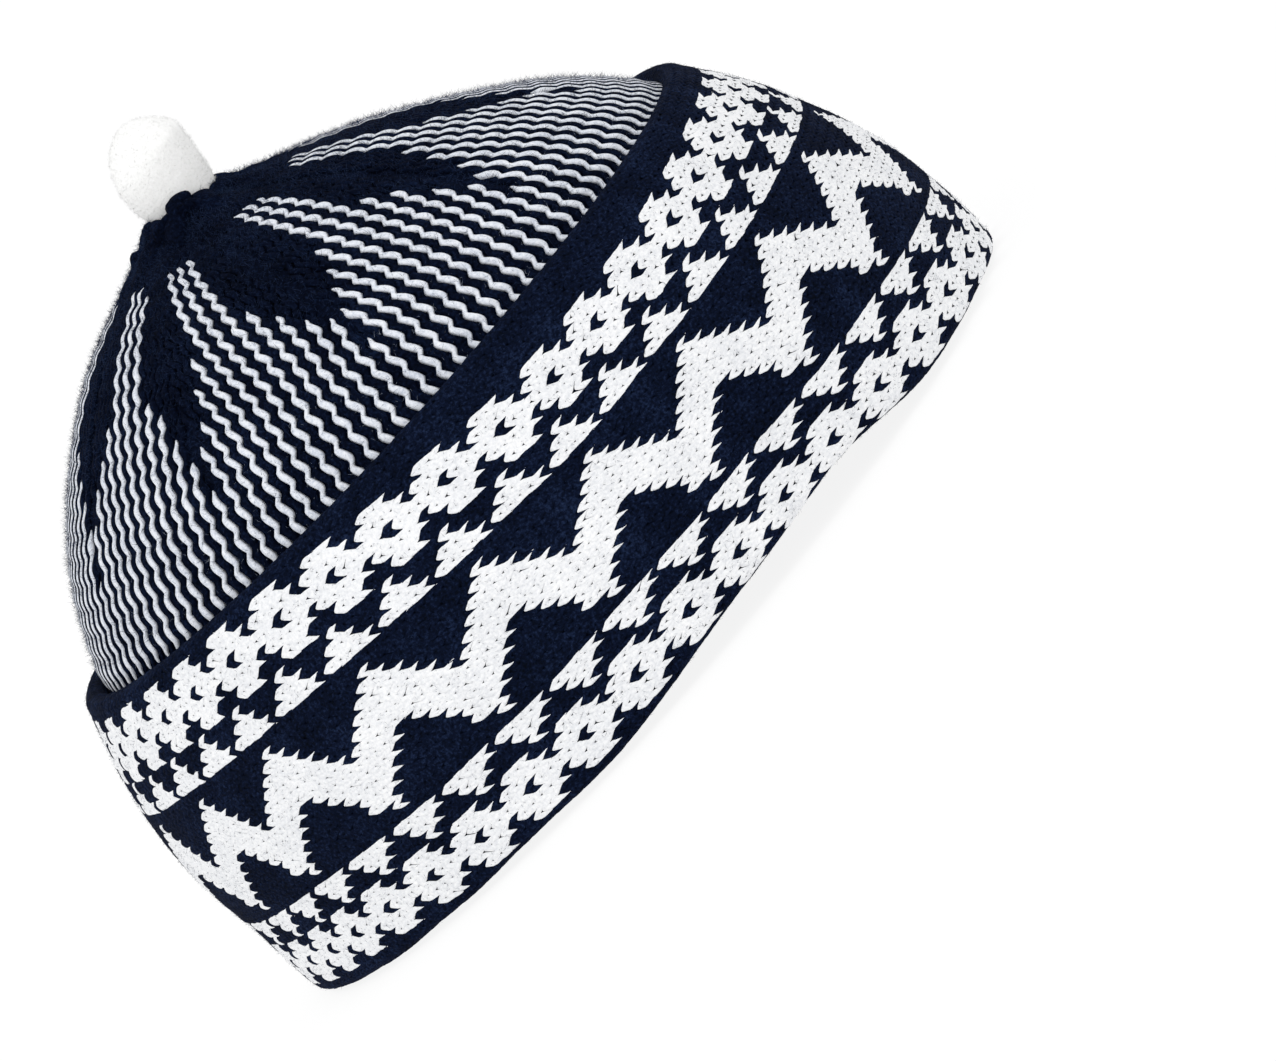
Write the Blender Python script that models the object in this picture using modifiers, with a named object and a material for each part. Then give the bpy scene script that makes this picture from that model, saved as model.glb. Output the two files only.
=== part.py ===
"""A knitted kufi: a hollow dome crown, a deep turned-up cuff and a small dense pompom.

Metres, +Z up. The hat stands on the fold of its rim, the rim's centre is the origin and
its front is towards -Y. The crown and the cuff are turned from one section each, and then
both are set the same way: shifted and tilted by height, creased, and lifted at the rim.
"""
import math
from collections import namedtuple

import bmesh
import bpy
from mathutils import Vector

# Driving sizes
HEAD_WIDTH = 0.184           # inside the rim, for a head of 57.8 cm round
CUFF_HEIGHT = 0.0709         # floor to the cuff's rolled edge
HAT_HEIGHT = 0.1212          # floor to the top of the dome, under the gather
CROWN_WALL = 0.0026          # one layer of striped knit
CUFF_WALL = 0.0032           # one layer of two-colour knit, with its floats
EDGE_WALL = 0.0052           # the cuff's rolled edge
FOLD_HEIGHT = 0.0060         # the rim fold, floor to where the inner layer begins
FOLD_ROUND = 0.0021          # the rounding of the rim fold
SEAT_GAP = 0.0003            # between two pieces that touch
GATHER_RADIUS = 0.0119       # the drawn-in ring round the pompom
GATHER_RISE = 0.0021         # how far the ring stands above the dome
PUCKER_DEPTH = 0.0009
PUCKER_REACH = 0.0280        # from the centre to where the puckers fade out
POMPOM_WIDTH = 0.0202
POMPOM_LENGTH = 0.0208
POMPOM_LEAN = 12.5           # degrees from upright, towards +X
GATHER_HUMP = -160.0         # degrees from +X, the side where the gather stands highest
TUFT_RISE = 0.0005
TUFT_INSET = 0.0004

# Counts
PUCKERS = 12
UNEVEN_WAVES = 5
TURN_STEPS = 60
ROLL_STEPS = 6
FOLD_STEPS = 3
LAYER_STEPS = 7
OUTSIDE_STEPS = 9
DOME_STEPS = 11
TUFTS_ROUND = 16
TUFTS_HIGH = 10

# Shares that shape the soft parts
EDGE_BEGINS = 0.70           # of CUFF_HEIGHT, where the wall starts to thicken to the edge
CROWN_DRAW_IN = 0.12         # of EDGE_WALL, how far the crown draws in beside the edge
RING_CROWDING = 0.85         # below 1, the dome's rings lie closer together near the cuff
PUCKER_STARTS = 0.20         # of GATHER_RADIUS, where the puckers begin
PUCKER_FULL = 0.60           # of GATHER_RADIUS, where they are at their deepest
UNEVEN_PUCKER = 0.50         # a second, slower wave that makes the puckers differ
HUMP_SHARE = 0.40            # of GATHER_RISE, how much higher the gather's high side is
POMPOM_SQUARENESS = 0.28     # 0 is a round ball, 1 a drum
POMPOM_WAIST = 0.20          # how much the pompom narrows where it is sewn on

# Sizes that follow from them
HEAD_RADIUS = 0.5 * HEAD_WIDTH
RIM_RADIUS = HEAD_RADIUS + CROWN_WALL + SEAT_GAP + CUFF_WALL
CROWN_RISE = HAT_HEIGHT - CUFF_HEIGHT

# The cuff's outside: height as a share of CUFF_HEIGHT, radius as a share of RIM_RADIUS
CuffRow = namedtuple("CuffRow", "height radius")
CUFF_ROWS = (
    CuffRow(height=0.00, radius=1.000),
    CuffRow(height=0.12, radius=1.004),
    CuffRow(height=0.26, radius=1.000),
    CuffRow(height=0.38, radius=1.001),
    CuffRow(height=0.49, radius=0.990),
    CuffRow(height=0.60, radius=0.974),
    CuffRow(height=0.71, radius=0.951),
    CuffRow(height=0.82, radius=0.921),
    CuffRow(height=0.92, radius=0.884),
    CuffRow(height=1.00, radius=0.850),
)

# The dome: radius as a share of its radius at the cuff's edge, height as a share of CROWN_RISE
CrownRow = namedtuple("CrownRow", "radius height")
CROWN_ROWS = (
    CrownRow(radius=0.000, height=1.000),
    CrownRow(radius=0.150, height=0.963),
    CrownRow(radius=0.246, height=0.912),
    CrownRow(radius=0.330, height=0.863),
    CrownRow(radius=0.475, height=0.762),
    CrownRow(radius=0.646, height=0.592),
    CrownRow(radius=0.780, height=0.430),
    CrownRow(radius=0.900, height=0.242),
    CrownRow(radius=1.000, height=0.000),
)

# The gather: radius as a share of GATHER_RADIUS, rise as a share of GATHER_RISE
GatherRow = namedtuple("GatherRow", "radius rise")
GATHER_ROWS = (
    GatherRow(radius=0.00, rise=-0.60),
    GatherRow(radius=0.27, rise=-0.45),
    GatherRow(radius=0.46, rise=0.15),
    GatherRow(radius=0.60, rise=1.00),
    GatherRow(radius=0.76, rise=0.70),
    GatherRow(radius=1.00, rise=0.10),
)

# How the soft hat sits: height as a share of HAT_HEIGHT, shift to +X as a share of
# RIM_RADIUS, tilt as the rise towards -X for each unit of X
SetRow = namedtuple("SetRow", "height shift tilt")
SET_ROWS = (
    SetRow(height=0.00, shift=0.003, tilt=0.000),
    SetRow(height=0.16, shift=0.006, tilt=0.000),
    SetRow(height=0.29, shift=-0.006, tilt=0.000),
    SetRow(height=0.42, shift=-0.014, tilt=0.004),
    SetRow(height=0.53, shift=-0.021, tilt=0.010),
    SetRow(height=0.60, shift=-0.024, tilt=0.018),
    SetRow(height=0.66, shift=-0.022, tilt=0.040),
    SetRow(height=0.76, shift=-0.020, tilt=0.067),
    SetRow(height=0.88, shift=-0.020, tilt=0.100),
    SetRow(height=1.00, shift=-0.018, tilt=0.135),
)

# Creases in the cuff: azimuth in degrees from the front towards +X, height and reach as
# shares of CUFF_HEIGHT, depth as a share of CUFF_WALL, spread in degrees
Crease = namedtuple("Crease", "azimuth height depth reach spread")
CREASES = (
    Crease(azimuth=-46, height=0.71, depth=0.34, reach=0.050, spread=34),
    Crease(azimuth=-70, height=0.29, depth=0.30, reach=0.045, spread=17),
    Crease(azimuth=68, height=0.66, depth=0.28, reach=0.060, spread=24),
    Crease(azimuth=-165, height=0.60, depth=0.30, reach=0.070, spread=30),
)

# Waves where the rim lifts off the floor: azimuth and spread in degrees, lift as a share
# of CUFF_WALL, and how far up the cuff it fades out as a share of CUFF_HEIGHT
RimWave = namedtuple("RimWave", "azimuth lift spread reach")
RIM_WAVES = (
    RimWave(azimuth=-33, lift=0.42, spread=7, reach=0.17),
    RimWave(azimuth=-48, lift=0.50, spread=6, reach=0.17),
    RimWave(azimuth=12, lift=1.45, spread=15, reach=0.42),
    RimWave(azimuth=30, lift=1.25, spread=9, reach=0.42),
    RimWave(azimuth=150, lift=0.40, spread=10, reach=0.17),
)


def smooth_between(rows, along, wanted, place):
    """The smooth value of the column `wanted` where the column `along` has the value `place`."""
    keys = [getattr(row, along) for row in rows]
    values = [getattr(row, wanted) for row in rows]
    place = min(max(place, keys[0]), keys[-1])
    last = len(rows) - 1
    low = max(i for i in range(last) if keys[i] <= place)
    high = low + 1

    def slope(i):
        before = max(i - 1, 0)
        after = min(i + 1, last)
        return (values[after] - values[before]) / (keys[after] - keys[before])

    span = keys[high] - keys[low]
    t = (place - keys[low]) / span
    near = (1 + 2 * t) * (1 - t) ** 2 * values[low] + t * (1 - t) ** 2 * span * slope(low)
    far = t * t * (3 - 2 * t) * values[high] + t * t * (t - 1) * span * slope(high)
    return near + far


def ease(value, start, end):
    """0 at start and before it, 1 at end and past it, and smooth between them."""
    t = min(max((value - start) / (end - start), 0.0), 1.0)
    return t * t * (3 - 2 * t)


def degrees_apart(a, b):
    """The angle between two azimuths, 0 to 180 degrees."""
    return abs((a - b + 180) % 360 - 180)


def cuff_outside(height):
    """The radius of the cuff's outside at a height."""
    return RIM_RADIUS * smooth_between(CUFF_ROWS, "height", "radius", height / CUFF_HEIGHT)


def cuff_inside(height):
    """The radius of the cuff's inside, whose wall thickens towards the rolled edge."""
    thicker = ease(height, EDGE_BEGINS * CUFF_HEIGHT, CUFF_HEIGHT - 0.5 * EDGE_WALL)
    return cuff_outside(height) - CUFF_WALL - thicker * (EDGE_WALL - CUFF_WALL)


ROLL_HEIGHT = CUFF_HEIGHT - 0.5 * EDGE_WALL
CROWN_RADIUS = cuff_inside(ROLL_HEIGHT) - SEAT_GAP - CROWN_DRAW_IN * EDGE_WALL


def dome_height(radius):
    """The height of the dome over a radius, without the gather."""
    share = smooth_between(CROWN_ROWS, "radius", "height", radius / CROWN_RADIUS)
    return CUFF_HEIGHT + CROWN_RISE * share


def layer_heights():
    """The heights, from the rim fold up, at which both the cuff and the layer in it are shaped."""
    return [FOLD_HEIGHT + (ROLL_HEIGHT - FOLD_HEIGHT) * i / LAYER_STEPS
            for i in range(LAYER_STEPS + 1)]


def crown_outline():
    """Radius and height along the crown's outside, from the gather down to the rim fold."""
    points = []
    for row in GATHER_ROWS:
        radius = row.radius * GATHER_RADIUS
        points.append((radius, dome_height(radius) + row.rise * GATHER_RISE))
    for i in range(1, DOME_STEPS + 1):
        share = (i / DOME_STEPS) ** RING_CROWDING
        radius = GATHER_RADIUS + (CROWN_RADIUS - GATHER_RADIUS) * share
        points.append((radius, dome_height(radius)))
    for height in reversed(layer_heights()):
        points.append((cuff_inside(height) - SEAT_GAP, max(height, FOLD_HEIGHT + SEAT_GAP)))
    return points


def arc(centre, radius, start, end, steps):
    """Points on an arc, angles in degrees from +X towards +Z."""
    turned = [math.radians(start + (end - start) * i / steps) for i in range(steps + 1)]
    return [(centre[0] + radius * math.cos(a), centre[1] + radius * math.sin(a)) for a in turned]


def cuff_outline():
    """The cuff's closed section, from the rolled edge down the outside and back up the inside."""
    roll = 0.5 * EDGE_WALL
    points = arc((cuff_outside(ROLL_HEIGHT) - roll, ROLL_HEIGHT), roll, 150, 0, ROLL_STEPS)
    for i in range(1, OUTSIDE_STEPS + 1):
        height = ROLL_HEIGHT + (FOLD_ROUND - ROLL_HEIGHT) * i / OUTSIDE_STEPS
        points.append((cuff_outside(height), height))
    outer = cuff_outside(FOLD_ROUND) - FOLD_ROUND
    points += arc((outer, FOLD_ROUND), FOLD_ROUND, 0, -90, FOLD_STEPS)[1:]
    points += arc((HEAD_RADIUS + FOLD_ROUND, FOLD_ROUND), FOLD_ROUND, -90, -180, FOLD_STEPS)
    points.append((HEAD_RADIUS, FOLD_HEIGHT))
    points += [(cuff_inside(height), height) for height in layer_heights()]
    return points


def turned_object(name, points, closed):
    """A section of radius and height points, turned round the Z axis with a Screw."""
    mesh = bpy.data.meshes.new(name)
    edges = [(i, i + 1) for i in range(len(points) - 1)]
    if closed:
        edges.append((len(points) - 1, 0))
    mesh.from_pydata([(radius, 0, height) for radius, height in points], edges, [])
    turned = bpy.data.objects.new(name, mesh)
    kufi.objects.link(turned)
    screw = turned.modifiers.new("turn", "SCREW")
    screw.steps = TURN_STEPS
    screw.render_steps = TURN_STEPS
    screw.use_merge_vertices = True
    screw.merge_threshold = 0.00005
    return turned


def apply_modifiers(piece):
    """Give the piece the mesh that its modifiers make."""
    graph = bpy.context.evaluated_depsgraph_get()
    mesh = bpy.data.meshes.new_from_object(piece.evaluated_get(graph))
    piece.modifiers.clear()
    piece.data = mesh


def pucker(point):
    """The gather's folds, which run out from the pompom and fade."""
    radius = math.hypot(point.x, point.y)
    if point.z < CUFF_HEIGHT or radius > PUCKER_REACH:
        return 0.0
    fade = 1 - ease(radius, PUCKER_FULL * GATHER_RADIUS, PUCKER_REACH)
    start = ease(radius, PUCKER_STARTS * GATHER_RADIUS, PUCKER_FULL * GATHER_RADIUS)
    angle = math.atan2(point.y, point.x)
    folds = math.cos(PUCKERS * angle) + UNEVEN_PUCKER * math.cos(UNEVEN_WAVES * angle + 1)
    hump = math.cos(angle - math.radians(GATHER_HUMP))
    return (PUCKER_DEPTH * folds + GATHER_RISE * HUMP_SHARE * hump) * fade * start


def set_point(point):
    """Where a point of the turned hat comes to lie on the real, soft one."""
    azimuth = math.degrees(math.atan2(point.x, -point.y))
    radius = math.hypot(point.x, point.y)
    push = 0.0
    for crease in CREASES:
        across = (point.z / CUFF_HEIGHT - crease.height) / crease.reach
        along = degrees_apart(azimuth, crease.azimuth) / crease.spread
        push -= crease.depth * CUFF_WALL * math.exp(-across ** 2 - along ** 4)
    lift = 0.0
    for wave in RIM_WAVES:
        along = degrees_apart(azimuth, wave.azimuth) / wave.spread
        fade = 1 - ease(point.z, 0, wave.reach * CUFF_HEIGHT)
        lift += wave.lift * CUFF_WALL * (1 - ease(along, 0, 2)) * fade
    share = point.z / HAT_HEIGHT
    shift = RIM_RADIUS * smooth_between(SET_ROWS, "height", "shift", share)
    tilt = smooth_between(SET_ROWS, "height", "tilt", share)
    grown = (radius + push) / radius if radius > SEAT_GAP else 1.0
    return Vector((
        point.x * grown + shift,
        point.y * grown,
        point.z + lift - point.x * tilt,
    ))


def finish(piece, colour, roughness):
    """Smooth shading and the yarn's plain colour."""
    piece.data.shade_smooth()
    yarn = bpy.data.materials.new(piece.name + "_yarn")
    yarn.use_nodes = True
    shader = yarn.node_tree.nodes["Principled BSDF"]
    shader.inputs["Base Color"].default_value = colour
    shader.inputs["Roughness"].default_value = roughness
    shader.inputs["Metallic"].default_value = 0.0
    piece.data.materials.clear()
    piece.data.materials.append(yarn)


def make_crown():
    """The dome, its gather and the layer inside the cuff, one wall all over."""
    crown = turned_object("crown", crown_outline(), closed=False)
    wall = crown.modifiers.new("wall", "SOLIDIFY")
    wall.thickness = CROWN_WALL
    wall.offset = -1
    apply_modifiers(crown)
    for vertex in crown.data.vertices:
        vertex.co.z += pucker(vertex.co)
        vertex.co = set_point(vertex.co)
    finish(crown, (0.010, 0.018, 0.040, 1), 0.9)


def make_cuff():
    """The turned-up band with its rolled edge and the fold at the rim."""
    cuff = turned_object("cuff", cuff_outline(), closed=True)
    apply_modifiers(cuff)
    for vertex in cuff.data.vertices:
        vertex.co = set_point(vertex.co)
    finish(cuff, (0.35, 0.36, 0.38, 1), 0.9)


def make_pompom():
    """A thumb-shaped pompom of short locks, each raised from the dense yarn under it."""
    mesh = bpy.data.meshes.new("pompom")
    shape = bmesh.new()
    bmesh.ops.create_uvsphere(shape, u_segments=TUFTS_ROUND, v_segments=TUFTS_HIGH, radius=1)
    for vertex in shape.verts:
        side = math.hypot(vertex.co.x, vertex.co.y)
        fuller = max(side, SEAT_GAP) ** -POMPOM_SQUARENESS
        foot = 1 - POMPOM_WAIST * ease(-vertex.co.z, -POMPOM_WAIST, 1)
        vertex.co.x *= fuller * foot * (0.5 * POMPOM_WIDTH - TUFT_RISE)
        vertex.co.y *= fuller * foot * (0.5 * POMPOM_WIDTH - TUFT_RISE)
        vertex.co.z *= 0.5 * POMPOM_LENGTH - TUFT_RISE
        vertex.co.z += 0.5 * POMPOM_LENGTH
    shape.normal_update()
    locks = [face for face in shape.faces if face.calc_center_median().z > 2 * GATHER_RISE]
    bmesh.ops.inset_individual(
        shape, faces=locks, thickness=TUFT_INSET, depth=TUFT_RISE, use_even_offset=True)
    shape.to_mesh(mesh)
    shape.free()
    pompom = bpy.data.objects.new("pompom", mesh)
    kufi.objects.link(pompom)
    gather_floor = dome_height(0) + GATHER_ROWS[0].rise * GATHER_RISE
    top = SET_ROWS[-1]
    pompom.location = (RIM_RADIUS * top.shift, 0, gather_floor + SEAT_GAP)
    pompom.rotation_euler = (0, math.radians(POMPOM_LEAN), 0)
    finish(pompom, (0.86, 0.86, 0.84, 1), 0.95)


for old in list(bpy.data.objects):
    bpy.data.objects.remove(old, do_unlink=True)

kufi = bpy.data.collections.new("kufi")
bpy.context.scene.collection.children.link(kufi)
make_crown()
make_cuff()
make_pompom()
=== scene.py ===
"""A knitted kufi with a turned-up cuff and a small pompom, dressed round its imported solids."""
import math

import bpy
import numpy as np
from mathutils import Matrix, Vector
from mathutils.bvhtree import BVHTree


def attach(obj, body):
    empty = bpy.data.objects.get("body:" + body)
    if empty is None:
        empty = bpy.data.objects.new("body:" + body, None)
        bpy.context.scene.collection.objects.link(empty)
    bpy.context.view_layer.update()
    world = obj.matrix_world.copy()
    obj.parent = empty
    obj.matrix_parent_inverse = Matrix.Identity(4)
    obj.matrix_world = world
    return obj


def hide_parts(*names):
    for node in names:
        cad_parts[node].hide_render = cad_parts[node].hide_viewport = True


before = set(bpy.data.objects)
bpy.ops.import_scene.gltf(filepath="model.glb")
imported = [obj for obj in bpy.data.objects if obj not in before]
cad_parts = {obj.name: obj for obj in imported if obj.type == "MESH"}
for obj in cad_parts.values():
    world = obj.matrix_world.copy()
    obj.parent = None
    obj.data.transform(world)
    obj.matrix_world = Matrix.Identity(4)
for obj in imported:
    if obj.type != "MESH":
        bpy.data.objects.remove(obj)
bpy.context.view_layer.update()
bpy.ops.object.select_all(action="DESELECT")
random = np.random.default_rng(7)


# Crown fabric. The dome and the layer inside the cuff: one layer of navy and white acrylic and
# wool yarn, machine-knitted sideways in ten gores that are drawn together at the top. This is
# the ground that its ribs of yarn stand on.

def hex_colour(text):
    """An sRGB hex colour, as the linear values that a shader takes."""
    parts = [int(text[i:i + 2], 16) / 255 for i in (1, 3, 5)]
    linear = [p / 12.92 if p <= 0.04045 else ((p + 0.055) / 1.055) ** 2.4 for p in parts]
    return (*linear, 1.0)


def add_node(tree, kind, settings=None, values=None, links=None):
    """A node of any kind, with its settings, its values by socket and its links by socket."""
    made = tree.nodes.new(kind)
    for name, value in (settings or {}).items():
        setattr(made, name, value)
    for name, value in (values or {}).items():
        made.inputs[name].default_value = value
    for name, source in (links or {}).items():
        tree.links.new(source, made.inputs[name])
    return made


def matt_wool(name, glint, sheen, gloss):
    """A new matt wool material, its tree and its shader, with a soft sheen in a colour."""
    wool = bpy.data.materials.new(name)
    wool.use_nodes = True
    shader = wool.node_tree.nodes["Principled BSDF"]
    shader.inputs["Roughness"].default_value = 0.92
    shader.inputs["IOR"].default_value = 1.5
    shader.inputs["Specular IOR Level"].default_value = gloss
    shader.inputs["Sheen Weight"].default_value = sheen
    shader.inputs["Sheen Roughness"].default_value = 0.45
    shader.inputs["Sheen Tint"].default_value = hex_colour(glint)
    return wool, wool.node_tree, shader


def spun_yarn(name, deep, plain, bright, sheen, gloss=0.12):
    """Spun wool and acrylic, from its deep shades to the fine fibres that catch the light."""
    yarn, tree, shader = matt_wool(name, bright, sheen, gloss)
    place = add_node(tree, "ShaderNodeTexCoord")
    # Fibres of about 0.03 mm are too fine to show, so they are drawn as clumps of 0.4 mm
    fibres = add_node(
        tree, "ShaderNodeTexNoise", {}, {"Scale": 1600.0, "Detail": 3.0, "Roughness": 0.65},
        {"Vector": place.outputs["Object"]})
    patches = add_node(
        tree, "ShaderNodeTexNoise", {}, {"Scale": 120.0, "Detail": 2.0},
        {"Vector": place.outputs["Object"]})
    both = add_node(
        tree, "ShaderNodeMix", {"data_type": "FLOAT"}, {"Factor": 0.25},
        {"A": fibres.outputs["Fac"], "B": patches.outputs["Fac"]})
    shades = add_node(
        tree, "ShaderNodeValToRGB", {}, {}, {"Fac": both.outputs["Result"]})
    ramp = shades.color_ramp
    ramp.elements[0].position = 0.34
    ramp.elements[0].color = hex_colour(deep)
    ramp.elements[1].position = 0.70
    ramp.elements[1].color = hex_colour(bright)
    middle = ramp.elements.new(0.52)
    middle.color = hex_colour(plain)
    relief = add_node(
        tree, "ShaderNodeBump", {}, {"Strength": 0.55, "Distance": 0.00025},
        {"Height": fibres.outputs["Fac"]})
    tree.links.new(shades.outputs["Color"], shader.inputs["Base Color"])
    tree.links.new(relief.outputs["Normal"], shader.inputs["Normal"])
    return yarn


navy_yarn = spun_yarn("navy_spun_wool_acrylic", "#02040b", "#070d1e", "#15213a", 0.01, 0.02)
# The crown's ribs are the same white yarn as the cuff's, given darker, greyer colours: painted
# shade, because the crown lies more in shade, and partly the grey of the navy down over them
shaded_rib_yarn = spun_yarn("white_wool_acrylic_crown_rib_painted_shade", "#c0c7d4", "#e0e4ec", "#f2f4f8", 0.03)


def finish_piece(piece, name, yarn, slot, *nodes):
    """The name, finish, body and CAD nodes of a finished piece whose place is in its mesh."""
    piece.name = name
    piece.data.name = name
    piece.data.materials.clear()
    piece.data.materials.append(yarn)
    piece.data.shade_smooth()
    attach(piece, "root")
    if nodes:
        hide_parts(*nodes)


SAME_POINT = 0.00002
SAME_FACE = 0.7


def smooth_copy(node, levels):
    """A merged, subdivided copy of a CAD node, in the node's own place."""
    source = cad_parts[node]
    copy = bpy.data.objects.new(node + "_cloth", source.data.copy())
    bpy.context.scene.collection.objects.link(copy)
    bpy.ops.object.select_all(action="DESELECT")
    copy.select_set(True)
    bpy.context.view_layer.objects.active = copy
    bpy.ops.object.mode_set(mode="EDIT")
    bpy.ops.mesh.select_all(action="SELECT")
    bpy.ops.mesh.remove_doubles(threshold=SAME_POINT)
    bpy.ops.mesh.tris_convert_to_quads(face_threshold=SAME_FACE, shape_threshold=SAME_FACE)
    bpy.ops.object.mode_set(mode="OBJECT")
    finer = copy.modifiers.new("finer", "SUBSURF")
    finer.levels = finer.render_levels = levels
    bpy.ops.object.modifier_apply(modifier="finer")
    copy.select_set(False)
    return copy


# The soft rim waves a little where nothing presses on it: degrees round, and lift in mm
RIM_WAVE = np.array([
    (-180, 0), (-75, 1.0), (-62, 1.2), (-52, 0.1), (-40, 0.2), (-24, 1.5), (-12, 1.3),
    (6, 1.4), (24, 1.5), (36, 1.2), (50, 1.6), (66, 1.5), (82, 0.4), (180, 0)])
RIM_REACH = 0.013  # how high up the cloth the wave can be felt
RIM_EASE = 1.5


def wave_rim(piece):
    """Lift the lowest part of the cloth along the rim's wave."""
    mesh = piece.data
    places = np.array([vertex.co for vertex in mesh.vertices])
    azimuth = np.degrees(np.arctan2(places[:, 0], -places[:, 1]))
    lift = np.interp(azimuth, RIM_WAVE[:, 0], RIM_WAVE[:, 1]) / 1000
    places[:, 2] += lift * np.clip(1 - places[:, 2] / RIM_REACH, 0, 1) ** RIM_EASE
    mesh.vertices.foreach_set("co", places.ravel())
    mesh.update()


crown_ground = smooth_copy("crown", 2)
wave_rim(crown_ground)
crown_tree = BVHTree.FromObject(crown_ground, bpy.context.evaluated_depsgraph_get())


def first_hit(tree, start, direction):
    """Where a ray first meets the cloth, or nothing."""
    hit = tree.ray_cast(Vector(start), Vector(direction))[0]
    return np.array(hit) if hit is not None else None


def evenly(path, steps):
    """Points along a path, steps given as lengths from its start."""
    lengths = np.concatenate([[0], np.cumsum(np.linalg.norm(np.diff(path, axis=0), axis=1))])
    return np.stack([np.interp(steps, lengths, path[:, i]) for i in range(3)], axis=1)


TINY = 1e-12


class Lay:
    """How flat knitting lies on the cloth: rows of points by azimuth, and the way out."""

    def __init__(self, points, first, step):
        self.points, self.first, self.step = points, first, step
        round_it = np.roll(points, -1, axis=0) - np.roll(points, 1, axis=0)
        along = np.gradient(points, axis=1)
        out = np.cross(along, round_it)
        out /= np.maximum(np.linalg.norm(out, axis=2, keepdims=True), TINY)
        for _ in range(3):
            out = out + np.roll(out, 1, axis=0) + np.roll(out, -1, axis=0)
            out[:, 1:-1] += out[:, 2:] + out[:, :-2]
            out /= np.maximum(np.linalg.norm(out, axis=2, keepdims=True), TINY)
        self.out = out

    def at(self, degrees, length, height):
        """The place in space of flat points: azimuth, length along the cloth, and height."""
        turns, many = self.points.shape[:2]
        a = (degrees % 360) / 360 * turns
        b = np.clip((length - self.first) / self.step, 0, many - 1.001)
        a0, b0 = np.floor(a).astype(int), np.floor(b).astype(int)
        fa, fb = (a - a0)[:, None], (b - b0)[:, None]
        a0, a1 = a0 % turns, (a0 + 1) % turns

        def mixed(field):
            near = field[a0, b0] * (1 - fb) + field[a0, b0 + 1] * fb
            far = field[a1, b0] * (1 - fb) + field[a1, b0 + 1] * fb
            return near * (1 - fa) + far * fa
        out = mixed(self.out)
        out /= np.maximum(np.linalg.norm(out, axis=1, keepdims=True), TINY)
        return mixed(self.points) + out * height[:, None]


# A lay has a line of points at each degree round, and a point at each half millimetre along it.
# The crown's lines start at the top of the dome, and are found by rays towards a point inside it
TURNS = 360
LAY_STEP = 0.0005
CROWN_REACH = 0.118
RAY_START = 0.3
crown_eye = np.array([-0.0019, 0.0, 0.060])
tilts = np.radians(np.linspace(90, -6, 150))
crown_paths = []
crown_steps = np.arange(0, CROWN_REACH, LAY_STEP)
for turn in range(TURNS):
    azimuth = math.radians(turn * 360 / TURNS)
    path = []
    for tilt in tilts:
        way = np.array([math.sin(azimuth) * math.cos(tilt),
                        -math.cos(azimuth) * math.cos(tilt), math.sin(tilt)])
        hit = first_hit(crown_tree, crown_eye + RAY_START * way, -way)
        path.append(hit if hit is not None else path[-1])
    crown_paths.append(evenly(np.array(path), crown_steps))
crown_lay = Lay(np.array(crown_paths), 0.0, LAY_STEP)


def sink(piece, depth):
    """Draw a ground in, so that the yarn that stands on it keeps the cloth's own outline."""
    thinner = piece.modifiers.new("thinner", "DISPLACE")
    thinner.strength = -depth
    thinner.mid_level = 0.0
    bpy.context.view_layer.objects.active = piece
    bpy.ops.object.modifier_apply(modifier="thinner")


def mesh_piece(name, points, faces):
    """A new piece from an array of points and a list of faces."""
    mesh = bpy.data.meshes.new(name)
    mesh.from_pydata(points.tolist(), [], faces)
    mesh.update()
    piece = bpy.data.objects.new(name, mesh)
    bpy.context.scene.collection.objects.link(piece)
    return piece


# Crown ribs. The face of the dome: 120 wavy ribs of white yarn with navy between, which run up
# each gore side by side, and end in steps where the ten solid navy leaves close the gores.
# They are one fabric with the ground, so each rib is laid on the cloth's own lines.
RIBS_IN_GORE = 12
GORES = 10
FIRST_JOIN = 4.2  # degrees round, where one gore meets the next
WAVE_LENGTH = 0.0048
RIB_END = 0.1015  # the length from the top at which the cuff hides the ribs
# Each wave is one stitch that slants across the rib and then a short step back
SLANT_SHARE, BACK_SHARE = 0.70, 0.30
RIB_SWAY = 0.00058
RIB_THIN, RIB_SWELL = 0.66, 0.34
BLUNT_END, STRAIGHT_END = 0.0020, 0.0030
RIB_SINK = 0.0001
# A rib's section: across as a share of its half width, up as a share of its height
RIB_ACROSS = np.array([-1.0, -0.55, 0.55, 1.0, 0.0])
RIB_UP = np.array([-0.20, 0.92, 0.92, -0.20, -0.9])

ribs_white, ribs_navy = [], []


def rib(pieces, degrees_of, start, end, half, height, rings):
    """One closed rib along the cloth from one length to another, with so many rings a wave."""
    steps = max(int((end - start) / WAVE_LENGTH * rings), 4)
    length = np.linspace(start, end, steps)
    phase = (length / WAVE_LENGTH) % 1.0
    slant = np.where(phase < SLANT_SHARE, phase / SLANT_SHARE * 2 - 1,
                     1 - (phase - SLANT_SHARE) / BACK_SHARE * 2)
    # the slant is mostly straight, with its turns a little rounded
    slant = 0.7 * slant + 0.3 * np.sin(slant * math.pi / 2)
    full = RIB_THIN + RIB_SWELL * np.sin(np.pi * np.clip(phase / SLANT_SHARE, 0, 1))
    near_end = np.minimum(length - start, end - length)
    taper = np.clip(near_end / BLUNT_END, 0.05, 1) ** 0.5
    slant = slant * np.clip(near_end / STRAIGHT_END, 0, 1)
    across = RIB_SWAY * slant[:, None] + half * (full * taper)[:, None] * RIB_ACROSS[None, :]
    lift = height * (full * taper)[:, None] * RIB_UP[None, :] - RIB_SINK
    pieces.append((degrees_of, np.repeat(length[:, None], len(RIB_UP), axis=1), across, lift))


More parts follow.
